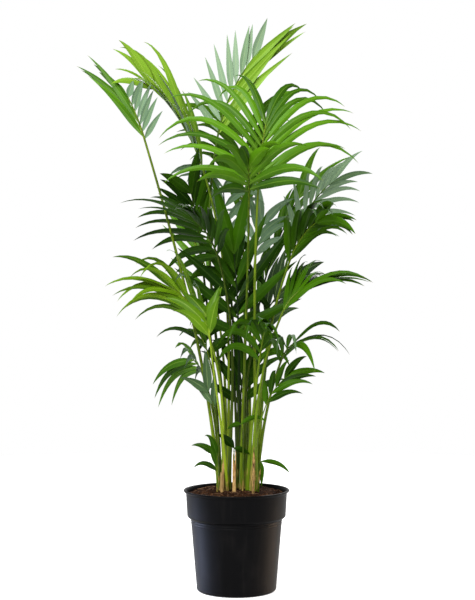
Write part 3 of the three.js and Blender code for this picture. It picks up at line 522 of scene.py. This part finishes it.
# Place: the seedling, and the stalk's place in its ring, 0 for the middle. Neck: where the leaflets begin.
# Crest: where the midrib ends. Size: leaflet length and width. Face: the way the upper side looks. Splay: the
# leaflets' angle to the midrib at the neck and at the crest. Lift: their angle out of the frond's plane.
# Droop: how far their ends hang. Tip: the last pair's length share. Spread and reach: the shares of the splay
# and of the length that the left and the right side have.
# Most of these numbers weren't chosen by hand: a search program made them, by changing them until the
# outline came near the photo's and the stalks stood apart.
FRONDS = {
    "tall_front": dict(
        place=("right", 6), neck=(0.053, -0.061, 0.989), crest=(0.071, -0.036, 1.137), pairs=9,
        size=(0.289, 0.019), face=(0.13, -0.94, 0.32), splay=(64, 24),
        lift=0, droop=1.31, tip=0.61, spread=(1.02, 0.71), reach=(1, 1.02),
    ),
    "tall_left": dict(
        place=("left", 2), neck=(-0.22, -0.084, 1.096), crest=(-0.26, -0.073, 1.197), pairs=7,
        size=(0.186, 0.0165), face=(0.08, 0.88, -0.46), splay=(43, 41),
        lift=21, droop=0.33, tip=0.5, spread=(0.98, 0.43), reach=(0.58, 1.12),
    ),
    "arching_left": dict(
        place=("back_left", 5), neck=(-0.083, 0.043, 1.035), crest=(-0.201, 0, 1.229), pairs=8,
        size=(0.227, 0.022), face=(0.87, -0.29, -0.39), splay=(21, 24),
        lift=40, droop=0.78, tip=0.63, spread=(0.88, 0.3), reach=(0.94, 1.08),
    ),
    "top": dict(
        place=("back_left", 6), neck=(-0.046, 0.09, 1.13), crest=(0.041, 0.116, 1.323), pairs=9,
        size=(0.226, 0.0195), face=(0.35, 0.74, 0.57), splay=(50, 23),
        lift=5, droop=0.17, tip=0.7, spread=(0.51, 0.88), reach=(1.12, 0.73),
    ),
    "middle_front": dict(
        place=("middle", 4), neck=(0.03, -0.085, 0.971), crest=(0.029, -0.11, 1.024), pairs=5,
        size=(0.227, 0.027), face=(0.1, -0.02, -0.99), splay=(75, 6),
        lift=31, droop=1.09, tip=0.5, spread=(0.95, 0.99), reach=(0.85, 0.96),
    ),
    "middle_left": dict(
        place=("left", 6), neck=(-0.046, -0.046, 0.817), crest=(-0.102, -0.095, 0.903), pairs=8,
        size=(0.191, 0.024), face=(-0.57, -0.54, -0.61), splay=(85, 15),
        lift=1, droop=0.88, tip=0.9, spread=(1.1, 0.46), reach=(1.12, 0.89),
    ),
    "upper_right": dict(
        place=("back_right", 6), neck=(0.149, 0.086, 0.873), crest=(0.233, 0.121, 1.003), pairs=7,
        size=(0.147, 0.017), face=(0.26, 0.86, 0.44), splay=(56, 13),
        lift=32, droop=0.72, tip=0.92, spread=(0.95, 0.75), reach=(1.12, 1.07),
    ),
    "middle_right": dict(
        place=("right", 1), neck=(0.128, -0.04, 0.803), crest=(0.187, -0.121, 0.893), pairs=6,
        size=(0.194, 0.025), face=(0.2, -0.98, -0.03), splay=(36, 18),
        lift=16, droop=1.22, tip=0.74, spread=(0.73, 0.49), reach=(1.12, 0.99),
    ),
    "low_left": dict(
        place=("left", 4), neck=(-0.073, -0.103, 0.644), crest=(-0.14, -0.128, 0.73), pairs=8,
        size=(0.237, 0.016), face=(-0.5, -0.57, 0.65), splay=(32, 13),
        lift=37, droop=1.37, tip=0.78, spread=(0.86, 1.02), reach=(1.02, 1),
    ),
    "low_right": dict(
        place=("right", 4), neck=(0.111, -0.107, 0.684), crest=(0.154, -0.095, 0.735), pairs=6,
        size=(0.227, 0.021), face=(-0.5, -0.49, 0.72), splay=(33, 31),
        lift=0, droop=1.11, tip=0.76, spread=(0.96, 0.76), reach=(0.87, 0.99),
    ),
    "young_left": dict(
        place=("left", 5), neck=(-0.062, -0.2, 0.628), crest=(-0.067, -0.19, 0.672), pairs=3,
        size=(0.108, 0.026), face=(-0.1, -0.95, 0.3), splay=(36, 26),
        lift=4, droop=0.75, tip=0.8, spread=(1, 0.5), reach=(1.15, 1),
    ),
    "small_right": dict(
        place=("right", 5), neck=(0.07, -0.14, 0.465), crest=(0.113, -0.14, 0.527), pairs=4,
        size=(0.098, 0.018), face=(0.06, -1, 0.02), splay=(35, 23),
        lift=22, droop=0.95, tip=0.92, spread=(0.81, 0.83), reach=(0.85, 1.12),
    ),
    "drooping_left": dict(
        place=("back_left", 3), neck=(-0.086, 0.019, 0.534), crest=(-0.106, 0.03, 0.562), pairs=4,
        size=(0.178, 0.019), face=(-0.89, -0.07, 0.45), splay=(69, 43),
        lift=22, droop=2.59, tip=0.68, spread=(0.97, 1.1), reach=(1.12, 0.63),
    ),
    "small_left": dict(
        place=("left", 3), neck=(-0.054, -0.063, 0.453), crest=(-0.068, -0.072, 0.491), pairs=2,
        size=(0.113, 0.02), face=(0.17, 0.9, -0.41), splay=(26, 50),
        lift=2, droop=0.66, tip=0.92, spread=(0.47, 0.39), reach=(1.01, 0.75),
    ),
    "short_left": dict(
        place=("back_left", 0), neck=(-0.072, 0.006, 0.585), crest=(-0.093, 0.027, 0.626), pairs=3,
        size=(0.132, 0.017), face=(-0.41, 0.14, 0.9), splay=(26, 16),
        lift=14, droop=1.96, tip=0.51, spread=(1.1, 0.85), reach=(1.05, 1),
    ),
    "bowed_right": dict(
        place=("back_right", 5), neck=(0.104, -0.117, 0.563), crest=(0.129, -0.166, 0.607), pairs=4,
        size=(0.176, 0.015), face=(0.39, -0.81, 0.44), splay=(29, 19),
        lift=0, droop=1.61, tip=0.92, spread=(0.87, 0.98), reach=(1.12, 1.1),
    ),
    "dark_right": dict(
        place=("right", 3), neck=(0.055, -0.075, 0.565), crest=(0.067, -0.121, 0.638), pairs=5,
        size=(0.142, 0.022), face=(-0.31, -0.94, -0.13), splay=(68, 22),
        lift=5, droop=2.48, tip=0.54, spread=(0.76, 0.45), reach=(1.12, 0.88),
    ),
    "inner_left": dict(
        place=("back_left", 2), neck=(-0.094, 0.086, 0.866), crest=(-0.112, 0.055, 0.976), pairs=5,
        size=(0.152, 0.025), face=(0.32, -0.94, 0.07), splay=(48, 38),
        lift=7, droop=0.44, tip=0.79, spread=(0.81, 0.49), reach=(0.94, 1.02),
    ),
    "centre": dict(
        place=("middle", 3), neck=(0.005, -0.008, 0.628), crest=(-0.006, -0.011, 0.824), pairs=6,
        size=(0.189, 0.029), face=(-0.04, -0.72, 0.69), splay=(56, 4),
        lift=0, droop=0.15, tip=0.92, spread=(1.1, 1.1), reach=(1.12, 1.12),
    ),
    "inner_back_left": dict(
        place=("middle", 1), neck=(-0.024, 0.124, 0.865), crest=(-0.034, 0.093, 0.996), pairs=4,
        size=(0.163, 0.02), face=(0.14, 0.89, 0.44), splay=(30, 49),
        lift=8, droop=1.76, tip=0.89, spread=(1.01, 0.5), reach=(0.78, 1.12),
    ),
    "inner_back_right": dict(
        place=("back_right", 4), neck=(0.048, 0.11, 0.822), crest=(0.064, 0.125, 0.898), pairs=4,
        size=(0.165, 0.022), face=(0.39, 0.87, 0.31), splay=(63, 36),
        lift=0, droop=1.04, tip=0.92, spread=(0.62, 0.63), reach=(0.74, 1.06),
    ),
    "centre_left": dict(
        place=("middle", 2), neck=(-0.013, 0.021, 0.614), crest=(-0.033, 0.026, 0.768), pairs=5,
        size=(0.163, 0.028), face=(-0.1, -0.92, 0.37), splay=(85, 50),
        lift=3, droop=2.6, tip=0.84, spread=(1.1, 0.47), reach=(0.68, 1.12),
    ),
    "centre_right": dict(
        place=("middle", 5), neck=(0.05, 0.045, 0.624), crest=(0.126, 0.065, 0.748), pairs=4,
        size=(0.164, 0.028), face=(-0.16, 0.99, 0.04), splay=(57, 14),
        lift=22, droop=0.68, tip=0.67, spread=(0.49, 0.47), reach=(1.05, 1),
    ),
    "back_left": dict(
        place=("back_left", 1), neck=(-0.056, 0.183, 0.713), crest=(-0.132, 0.278, 0.896), pairs=4,
        size=(0.187, 0.022), face=(-0.42, -0.73, 0.55), splay=(62, 8),
        lift=9, droop=0.15, tip=0.71, spread=(0.46, 0.55), reach=(1.12, 1),
    ),
    "back_right": dict(
        place=("back_right", 3), neck=(0.059, 0.178, 0.701), crest=(0.162, 0.257, 0.977), pairs=5,
        size=(0.197, 0.022), face=(-0.31, -0.79, 0.52), splay=(44, 42),
        lift=10, droop=0.83, tip=0.92, spread=(0.3, 0.3), reach=(1.05, 1.12),
    ),
    "back_tall": dict(
        place=("back_right", 2), neck=(0.017, 0.246, 0.923), crest=(0.016, 0.214, 1.137), pairs=6,
        size=(0.208, 0.021), face=(-0.03, -0.93, 0.37), splay=(24, 50),
        lift=10, droop=1.13, tip=0.92, spread=(0.88, 0.68), reach=(1.12, 1.12),
    ),
    "low_back": dict(
        place=("middle", 6), neck=(0.01, 0.044, 0.453), crest=(0.016, 0.056, 0.524), pairs=4,
        size=(0.14, 0.025), face=(0.01, -0.87, 0.5), splay=(66, 24),
        lift=14, droop=0.82, tip=0.92, spread=(0.71, 0.74), reach=(1.12, 1.05),
    ),
    "shoot_left": dict(
        place=("shoot_left", 0), neck=(-0.046, -0.064, 0.299), crest=(-0.047, -0.068, 0.337), pairs=2,
        size=(0.07, 0.015), face=(-0.1, -0.9, 0.4), splay=(48, 46),
        lift=0, droop=1.35, tip=0.8, spread=(1, -0.22), reach=(1.25, 1.12),
    ),
    "shoot_inner": dict(
        place=("shoot_inner", 0), neck=(-0.006, -0.044, 0.345), crest=(-0.006, -0.048, 0.353), pairs=1,
        size=(0.062, 0.019), face=(0, -0.9, 0.4), splay=(75, 75),
        lift=14, droop=0.6, tip=1, spread=(0.42, 1.35), reach=(1.25, 0.72),
    ),
    "shoot_front": dict(
        place=("shoot_front", 0), neck=(0.013, -0.062, 0.402), crest=(0.011, -0.066, 0.412), pairs=1,
        size=(0.066, 0.013), face=(0, -0.9, 0.4), splay=(80, 80),
        lift=0, droop=1.7, tip=1, spread=(0.8, 1), reach=(0.6, 1.05),
    ),
    "shoot_right": dict(
        place=("shoot_right", 0), neck=(0.058, -0.066, 0.314), crest=(0.059, -0.07, 0.323), pairs=1,
        size=(0.072, 0.013), face=(0, -0.9, 0.4), splay=(72, 72),
        lift=0, droop=1.5, tip=1, spread=(2.6, 1), reach=(0.95, 1.1),
    ),
}

# The age of each frond's leaves, which sets its green; the others are full grown. The last two sets are
# darker greens that paint shade. The old one is partly the darker colour of older leaves and partly painted
# shade, for fronds and shoots that stand low or under others. The last one is wholly painted shade, for the
# fronds deep inside the clump.
AGES = {
    "newest": ("arching_left", "top"),
    "young": ("low_left", "young_left", "upper_right"),
    # Darker green, partly the older leaves' own and partly painted shade: these fronds and shoots stand low
    # or under the others.
    "old": (
        "middle_right", "dark_right", "small_right", "low_right", "bowed_right", "small_left", "short_left",
        "shoot_left", "shoot_front", "shoot_right",
    ),
    # Painted shade: the darkest greens, for the fronds deep inside the clump.
    "painted_shade": (
        "middle_left", "inner_left", "centre", "centre_left", "centre_right", "low_back", "shoot_inner",
    ),
}

# The fronds with a row of leaflets turned over, so that its undersides look up: -1 the left row, 1 the right.
TURNED_OVER = {"tall_left": 1, "top": -1}

# A leaflet's middle line in the CAD.
LINE_STEPS = 20
DROOP_POWER = 1.8
TURN_STEP = 4  # degrees between the rings of turns by which it may bend aside
TURN_RINGS = 9
SHORTER = 0.8  # its share of length where it had to be shorter
TIP_MATCH = 0.0002

# How much the leaflets of a frond differ, and the number that each kind of draw has.
VARIED = {"splay": (4, 0), "lift": (5, 5), "length": (0.06, 9), "droop": (0.25, 13)}
TWIST_DRAW = 31
LEAF_TINT_DRAW = 41
STALK_TINT_DRAW = (7, 43)  # as if the stalk were pair 7

# The rings of a blade by steps of its line, and the points of a ring: over the upper side from edge to edge,
# and back along the underside. Across is -1 and 1 at the edges and 0 at the fold.
BLADE_RINGS = np.array([0, 1, 2, 4, 6, 8, 10, 12, 14, 16, 18, 19])
ALONG = BLADE_RINGS / LINE_STEPS
ACROSS = np.array([1, 0.5, 0, -0.5, -1, -0.5, 0, 0.5])
UNDERSIDE = np.arange(8) > 4

STALK_SIDES = 12
STALK_RINGS = (34, 19)  # up the petiole, and along the midrib with the one at the neck
STALK_RADII = (0.0044, 0.0026, 0.0013)  # at the foot, the neck and the crest
FOOT_SWELL = (0.0016, 0.26)  # how much thicker a stalk is at the mix, and the height over which that fades


def curve(corners, t):
    """Points at t on the cubic curve of four corners: (1-t)^3, 3t(1-t)^2, 3t^2(1-t) and t^3 of each."""
    t = np.asarray(t, float)[..., None]
    a, b, c, d = corners
    return (1 - t) ** 3 * a + 3 * t * (1 - t) ** 2 * b + 3 * t**2 * (1 - t) * c + t**3 * d


def curve_way(corners, t):
    """The way that the curve runs at t, from two points close by on either side."""
    return unit(curve(corners, np.minimum(1, t + 1e-4)) - curve(corners, np.maximum(0, t - 1e-4)))


def spine(frond):
    """The petiole and the midrib as two curves that share a way at the neck, halfway between the chords. The
    petiole leaves the foot steeply, and the midrib leaves its chord by the same angle at both ends."""
    seedling, slot = frond["place"]
    foot = np.array([*SEEDLINGS[seedling], FOOT_HEIGHT])
    if slot:
        angle = math.radians(60 * slot + RING_START)
        foot[:2] += RING_RADIUS * np.array([math.cos(angle), math.sin(angle)])
    neck, crest = np.array(frond["neck"]), np.array(frond["crest"])
    rise, run = neck - foot, crest - neck
    at_neck = unit(0.5 * unit(rise) + 0.5 * unit(run))
    at_foot = unit(rise * [0.35, 0.35, 1])
    at_crest = 2 * (unit(run) @ at_neck) * unit(run) - at_neck
    below, above = 0.35 * np.linalg.norm(rise), 0.35 * np.linalg.norm(run)
    petiole = np.array([foot, foot + at_foot * below, neck - at_neck * below, neck])
    midrib = np.array([neck, neck + at_neck * above, crest - at_crest * above, crest])
    return petiole, midrib


def draw(number, pair, purpose):
    """A fixed draw from -1 to 1: the fraction of a large multiple of a sine."""
    x = np.sin(number * 12.9898 + pair * 78.233 + purpose * 37.719) * 43758.5453
    return (x - np.floor(x)) * 2 - 1


def turns():
    """The ways a leaflet may bend aside: its own, then rings of wider turns, then the same when shorter."""
    angle = np.radians(60 * np.arange(6))
    rings = TURN_STEP * np.arange(1, TURN_RINGS + 1)[:, None]
    around = np.stack([rings * np.cos(angle), rings * np.sin(angle)], axis=-1).reshape(-1, 2)
    around = np.concatenate([np.zeros((1, 2)), around])
    return np.concatenate([np.c_[around, np.full(len(around), share)] for share in (1, SHORTER)])


def leaflets(frond, number, node_points):
    """Each leaflet's middle line, found as the one of its possible turns whose tip is a point of the CAD
    node. Every step of a line runs its first way with droop t^1.8 of straight down added."""
    pairs = frond["pairs"]
    pair = np.repeat(np.arange(pairs), 2)
    side = np.tile([-1, 1], pairs)
    hand = (side > 0).astype(int)
    last = pair == pairs - 1

    def varied(what):
        amount, purpose = VARIED[what]
        return amount * draw(number, pair, side + purpose)

    # The root of each on the midrib, and the frond's plane there.
    midrib = spine(frond)[1]
    share = np.where(last, 1, (pair + 0.22 * (side > 0)) / (pairs - 1 + 0.22))
    root, along = curve(midrib, share), curve_way(midrib, share)
    face = np.array(frond["face"])
    up = unit(face - (along @ face)[:, None] * along)
    right = np.cross(along, up)

    # Its size and its angles.
    fullness = 0.72 + 0.28 * np.sin(np.pi * np.minimum(1, share * 1.05 + 0.12))
    fullness *= 1 + varied("length")
    length = frond["size"][0] * np.array(frond["reach"])[hand] * np.where(last, frond["tip"], fullness)
    width = frond["size"][1] * np.where(last, 1.25, 1)
    droop = frond["droop"] * (1 + varied("droop")) * np.where(last, 0.8, 1)
    splay = frond["splay"][0] * (1 - share) + frond["splay"][1] * share
    splay = splay * np.array(frond["spread"])[hand] + varied("splay")
    lift = frond["lift"] + varied("lift")

    # Its line at each turn, (k, turns, LINE_STEPS + 1, 3).
    turn = turns()
    splays = np.radians(splay[:, None] + turn[:, 0])[..., None]
    lifts = np.radians(lift[:, None] + turn[:, 1])[..., None]
    sideways = side[:, None, None]
    outward = sideways * np.cos(lifts) * right[:, None] + np.sin(lifts) * up[:, None]
    first = unit(np.cos(splays) * along[:, None] + np.sin(splays) * outward)
    flat = np.cos(lifts) * up[:, None] - sideways * np.sin(lifts) * right[:, None]
    t = (np.arange(LINE_STEPS) + 0.5) / LINE_STEPS
    hang = droop[:, None, None, None] * (t**DROOP_POWER)[:, None] * np.array([0, 0, 1])
    step_length = (length[:, None] * turn[:, 2] / LINE_STEPS)[..., None, None]
    steps = unit(first[:, :, None] - hang) * step_length
    lines = root[:, None, None] + np.concatenate([0 * steps[:, :, :1], np.cumsum(steps, axis=2)], axis=2)

    # The turn that the CAD took: the first whose tip is there.
    near = np.linalg.norm(lines[:, :, -1, None] - node_points, axis=-1).min(-1) < TIP_MATCH
    rows = np.flatnonzero(near.any(1))
    picked = rows, near.argmax(1)[rows]
    hang = ALONG[:, None] ** DROOP_POWER * np.array([0, 0, 1])
    return {
        "line": lines[picked], "way": unit(first[picked][:, None] - droop[rows, None, None] * hang),
        "flat": flat[picked], "width": width[rows], "side": side[rows], "missing": len(side) - len(rows),
    }


def blades(leaves, number):
    """The leaflets as thin folded blades, (k, 12, 8, 3). Across, a blade is a low roof: its height is
    fold (1 - |s|) - 0.1 s^2 of its half width, s from -1 to 1, and its underside lies a thickness below. It
    is narrow at the root, widest at 0.38 of its length and runs out to a long point as 1 - t^2.3."""
    t, s = ALONG, ACROSS
    line, way, flat = leaves["line"][:, BLADE_RINGS], leaves["way"], leaves["flat"][:, None]
    up = unit(flat - (flat * way).sum(-1, keepdims=True) * way)
    twist = (0.5 * draw(number, np.arange(len(line)), TWIST_DRAW) * t[:, None] ** 1.5).T[..., None]
    up = np.cos(twist) * up + np.sin(twist) * np.cross(way, up)
    across = np.cross(way, up)
    opening = np.sin(np.minimum(1, t / 0.38) * np.pi / 2)
    half = (leaves["width"][:, None] / 2 * (0.12 + 0.88 * opening) * (1 - t**2.3))[..., None]
    fold = (0.16 + 0.5 * (1 - t) ** 6 + 0.1 * t)[:, None]
    ripple = 0.05 * np.sin(3 * t[:, None] * np.pi + 2.1 * s) * np.abs(s)
    thickness = 0.00045 + 0.0004 * (1 - t)[:, None]
    height = half * (fold * (1 - np.abs(s)) - 0.1 * s**2 + ripple)
    height = height - UNDERSIDE * thickness - 0.35 * fold * half
    return line[:, :, None] + (half * s)[..., None] * across[:, :, None] + height[..., None] * up[:, :, None]


def leaf_faces(k, rings, around, over):
    """Quads between the rings of k blades, a fan to each tip, whose points come after the rings', and a flat
    face at each root. Also says of each face whether it looks up, as the first half of a ring's faces do, or
    the second half where the blade is turned over."""
    here = np.arange(k * rings * around).reshape(k, rings, around)
    beside = np.roll(here, -1, axis=2)
    quads = np.stack([here[:, :-1], here[:, 1:], beside[:, 1:], beside[:, :-1]], axis=-1)
    tips = np.broadcast_to((here.size + np.arange(k))[:, None], (k, around))
    fans = np.stack([here[:, -1], tips, beside[:, -1]], axis=-1)
    looks_up = (np.arange(around) < around // 2) ^ over[:, None]
    faces = quads.reshape(-1, 4).tolist() + fans.reshape(-1, 3).tolist() + here[:, 0].tolist()
    upper = np.repeat(looks_up, rings - 1, axis=0).ravel(), looks_up.ravel(), over | True
    return faces, np.concatenate(upper)


def stalk_bar(frond):
    """The stalk and midrib as one bar, (n, sides, 3), and its path. The radius falls evenly between the
    STALK_RADII and swells at the foot, and the upper side has a shallow groove. A stalk with short leaflets
    is half as thick, and one with few leaflets three quarters."""
    petiole, midrib = spine(frond)
    thickness = 0.5 if frond["size"][0] < 0.1 else 0.75 if frond["pairs"] < 4 else 1
    t, q = np.linspace(0, 1, STALK_RINGS[0]), np.linspace(0, 1, STALK_RINGS[1])[1:]
    path = np.concatenate([curve(petiole, t), curve(midrib, q)])
    foot, neck, crest = STALK_RADII
    more, fade = FOOT_SWELL
    swell = more * np.clip(1 - (path[:len(t), 2] - mix_edge) / fade, 0, 1) ** 2
    radius = np.concatenate([foot * (1 - t) + neck * t + swell, neck * (1 - q) + crest * q]) * thickness
    rings = tubes(path[None], radius[None], STALK_SIDES, frond["face"])[0]
    groove = np.zeros(STALK_SIDES)
    groove[[0, 1, -1]] = 0.22, 0.08, 0.08
    return path[:, None] + (rings - path[:, None]) * (1 - groove)[None, :, None], path


def veins(finish, uv, fineness):
    """Fine uneven lines along a leaflet."""
    stretched = finish.node("ShaderNodeMapping", None, {"Vector": uv, "Scale": (fineness, 1.5, 1)})
    return finish.noise(stretched, 1.0, detail=2.0)


def leaf_green(name, dark, bright, pale, gloss):
    """The upper side of a leaflet: green with fine pleats along it, a paler line on the fold, yellower
    towards the root and brown at the very tip. UV runs across (0 to 1) and along (0 to 1)."""
    finish = Finish(name, Specular_IOR_Level=gloss)
    uv = finish.node("ShaderNodeUVMap", {"uv_map": "blade"})
    across, along = finish.part(uv, "X"), finish.part(uv, "Y")
    tint = finish.node("ShaderNodeAttribute", {"attribute_name": "tint"}, output="Fac")
    cloud = finish.noise(finish.places(), 9.0)
    vein = veins(finish, uv, 46)
    pleat = finish.math("SINE", across * 50.0) * 0.5 + 0.5
    rib = (1 - finish.math("ABSOLUTE", across * 2 - 1)).rising(0.88, 1.0)
    mottled = (0.5 * cloud + 0.35 * vein + 0.45 * tint).rising(0.36, 0.92)
    colour = finish.blend(mottled, dark, bright)
    colour = finish.blend(rib * 0.45 + (1 - along.rising(0.0, 0.16)) * 0.35, colour, pale)
    colour = finish.blend(along.rising(0.965, 1.0) * 0.8, colour, (0.16, 0.09, 0.03))
    return finish.feed(
        Base_Color=colour,
        Roughness=0.34 + 0.16 * vein,
        Normal=finish.relief(pleat * 0.5 + vein * 0.5, 0.00012, 0.4),
    )


def leaf_back(name, dark, pale):
    """The underside of a leaflet: matt and paler, bluish, with the same fine veins."""
    finish = Finish(name, Specular_IOR_Level=0.08)
    uv = finish.node("ShaderNodeUVMap", {"uv_map": "blade"})
    tint = finish.node("ShaderNodeAttribute", {"attribute_name": "tint"}, output="Fac")
    vein = veins(finish, uv, 60)
    rib = (1 - finish.math("ABSOLUTE", finish.part(uv, "X") * 2 - 1)).rising(0.86, 1.0)
    colour = finish.blend((0.5 * vein + 0.6 * tint).rising(0.25, 0.85), dark, pale)
    return finish.feed(
        Base_Color=finish.blend(rib * 0.35, colour, (0.2, 0.28, 0.1)),
        Roughness=0.55 + 0.1 * vein,
        Normal=finish.relief(vein, 0.00012, 0.4),
    )


def stalk_green(name, light_green, deep_green):
    """A stalk: glossy yellow-green with fine lengthwise lines, darker and greener higher up as painted shade
    under the leaves, with a random tone of its own, and with straw and brown patches of old sheath near the
    foot."""
    finish = Finish(name, Specular_IOR_Level=0.08)
    tint = finish.node("ShaderNodeAttribute", {"attribute_name": "tint"}, output="Fac")
    height = finish.part(finish.places(), "Z")
    streak = finish.noise(finish.places((1, 1, 0.02)), 420.0, detail=2.0)
    patches = finish.noise(finish.places((1, 1, 0.25)), 60.0)
    # Painted shade: the stalk turns to its deep green from 0.25 m up to 0.6 m, where the leaves above shade
    # it; streaks and the stalk's own tint vary it at random.
    shade_and_tone = height.rising(0.25, 0.6) * 0.6 + 1.5 * (streak - 0.5) + 0.9 * tint - 0.3
    colour = finish.blend(shade_and_tone.clamped(), light_green, deep_green)
    old = (patches + 0.35 * streak - (height - 0.24) * 3.2).rising(0.56, 0.68)
    sheath = finish.blend(streak.rising(0.4, 0.6), (0.04, 0.022, 0.005), (0.28, 0.19, 0.048))
    return finish.feed(
        Base_Color=finish.blend(old * 0.85, colour, sheath),
        Roughness=0.36 + 0.2 * streak + 0.25 * old,
        Normal=finish.relief(streak, 0.0005, 0.5),
    )


# The colours of each age. Upper side: dark, bright, its fold and root, and its gloss. Underside: dark and
# pale. Stalk: its light green, and its deep green, which it turns to higher up as painted shade. The old
# colours are partly, and the last ones wholly, painted shade.
SHADES = {
    "newest": (
        ((0.036, 0.088, 0.003), (0.12, 0.225, 0.014), (0.22, 0.3, 0.04), 0.07),
        ((0.06, 0.11, 0.048), (0.12, 0.175, 0.11)),
        ((0.15, 0.21, 0.008), (0.03, 0.062, 0.002)),
    ),
    "young": (
        ((0.013, 0.045, 0.0006), (0.085, 0.165, 0.003), (0.17, 0.24, 0.03), 0.07),
        ((0.055, 0.105, 0.042), (0.11, 0.165, 0.1)),
        ((0.15, 0.21, 0.008), (0.02, 0.05, 0.001)),
    ),
    "grown": (
        ((0.009, 0.036, 0.0005), (0.052, 0.138, 0.003), (0.11, 0.19, 0.02), 0.07),
        ((0.045, 0.09, 0.04), (0.095, 0.15, 0.09)),
        ((0.11, 0.165, 0.005), (0.005, 0.018, 0.0003)),
    ),
    # Partly painted shade, for the fronds and shoots under the others.
    "old": (
        ((0.0026, 0.012, 0.0001), (0.025, 0.074, 0.0008), (0.045, 0.095, 0.01), 0.03),
        ((0.01, 0.028, 0.006), (0.04, 0.075, 0.03)),
        ((0.08, 0.13, 0.004), (0.003, 0.011, 0.0002)),
    ),
    # Painted shade: darker copies of the greens, for the fronds deep inside the clump.
    "painted_shade": (
        ((0.002, 0.01, 0.0001), (0.015, 0.048, 0.0006), (0.03, 0.065, 0.005), 0.03),
        ((0.006, 0.018, 0.003), (0.026, 0.052, 0.016)),
        ((0.055, 0.09, 0.003), (0.002, 0.008, 0.0002)),
    ),
}
GREENS = {}
for age, (top, under, bar) in SHADES.items():
    upper_side, underside = leaf_green(f"{age}_leaf", *top), leaf_back(f"{age}_underside", *under)
    GREENS[age] = upper_side, underside, stalk_green(f"{age}_stalk", *bar)

for number, (name, frond) in enumerate(FRONDS.items()):
    age = next((age for age, names in AGES.items() if name in names), "grown")
    node = f"frond_{name}"
    node_points = np.array([v.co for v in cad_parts[node].data.vertices])
    leaves = leaflets(frond, number, np.unique(node_points.round(7), axis=0))
    if leaves["missing"]:
        print(f"{name}: {leaves['missing']} leaflets not found")
    rings = blades(leaves, number)
    k, stations, around = rings.shape[:3]
    leaf_points = np.concatenate([rings.reshape(-1, 3), leaves["line"][:, -1]])
    faces, upper = leaf_faces(k, stations, around, leaves["side"] == TURNED_OVER.get(name, 0))
    bar, path = stalk_bar(frond)
    bar_points, bar_faces = skin(bar, path[0], path[-1])
    points, all_faces = joined([(leaf_points, faces), (bar_points, bar_faces)])
    piece = new_piece(f"palm_frond_{name}", points, all_faces, *GREENS[age])
    finish_of_face = np.concatenate([np.where(upper, 0, 1), np.full(len(bar_faces), 2)])
    piece.data.polygons.foreach_set("material_index", finish_of_face.astype(np.int32))

    # Each point's place on its leaflet, across and along: on the rings, at the tips, and none on the stalk.
    ring_uv = np.stack(np.broadcast_arrays((ACROSS + 1) / 2, ALONG[:, None]), axis=-1).reshape(-1, 2)
    stalk_uv = np.zeros((len(bar_points), 2))
    point_uv = np.concatenate([np.tile(ring_uv, (k, 1)), np.tile([[0.5, 1.0]], (k, 1)), stalk_uv])
    corner = np.empty(len(piece.data.loops), np.int32)
    piece.data.loops.foreach_get("vertex_index", corner)
    layer = piece.data.uv_layers.new(name="blade")
    layer.data.foreach_set("uv", point_uv[corner].astype(np.float32).ravel())

    # A tint of its own for each leaflet and for the stalk.
    leaf_tint = 0.5 + 0.5 * draw(number, np.arange(k), LEAF_TINT_DRAW)
    stalk_tint = np.full(len(bar_points), 0.5 + 0.5 * draw(number, *STALK_TINT_DRAW))
    tint = np.concatenate([np.repeat(leaf_tint, stations * around), leaf_tint, stalk_tint])
    layer = piece.data.attributes.new("tint", "FLOAT", "POINT")
    layer.data.foreach_set("value", tint.astype(np.float32))

    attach(piece, "root")
    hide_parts(node)

# ------------------------------
# The studio: a white floor and even white light, with a large soft lamp above the front left and a weaker one
# behind. Two small lamps, one cool and one warm, catch the sides of the pot.

FLOOR_LEVEL = -0.0005
FLOOR_RADIUS = 3.0

floor_finish = Finish(
    "white_floor", Base_Color=(0.45, 0.45, 0.45, 1), Roughness=0.9, Specular_IOR_Level=0.1,
    Emission_Color=(1, 1, 1, 1), Emission_Strength=0.75,
)
floor_rings = turned(np.array([[FLOOR_RADIUS, FLOOR_LEVEL], [FLOOR_RADIUS / 3, FLOOR_LEVEL]]), 64)
floor = new_piece("studio_floor", *skin(floor_rings, None, (0, 0, FLOOR_LEVEL)), floor_finish.material)

# White all round at the level of the plant, and dimmer overhead, where the ceiling is.
world = bpy.data.worlds.new("studio_air")
world.use_nodes = True
air = Nodes(world.node_tree)
upwards = air.part(air.node("ShaderNodeTexCoord", output="Generated"), "Z")
light = air.blend(upwards.rising(0.26, 0.55), (1, 1, 1), (0.16, 0.16, 0.17))
air.tree.links.new(light.socket, air.tree.nodes["Background"].inputs["Color"])
bpy.context.scene.world = world


def soft_lamp(name, place, aim, width, power, colour=(1, 1, 1), spread=180):
    """A square area lamp that looks from its place towards a point, and lights spread degrees round it."""
    data = bpy.data.lights.new(name, "AREA")
    data.size = width
    data.energy = power
    data.color = colour
    data.spread = math.radians(spread)
    lamp = bpy.data.objects.new(name, data)
    lamp.location = place
    away = unit(np.array(place) - np.array(aim))
    lamp.rotation_euler = (math.acos(away[2]), 0, math.atan2(away[1], away[0]) + math.pi / 2)
    bpy.context.scene.collection.objects.link(lamp)


soft_lamp("key", (-1.2, -2.8, 3.2), (0, 0, 0.9), 2.6, 450)
soft_lamp("rear", (1.0, 2.8, 3.0), (0, 0, 0.9), 2.6, 170)
soft_lamp("cool_side", (-1.5, 0.4, 0.1), (0, 0, 0.05), 0.25, 1.4, (0.56, 0.66, 1), spread=14)
soft_lamp("warm_side", (1.5, 0.4, 0.1), (0, 0, 0.05), 0.25, 0.6, (1, 0.7, 0.46), spread=14)
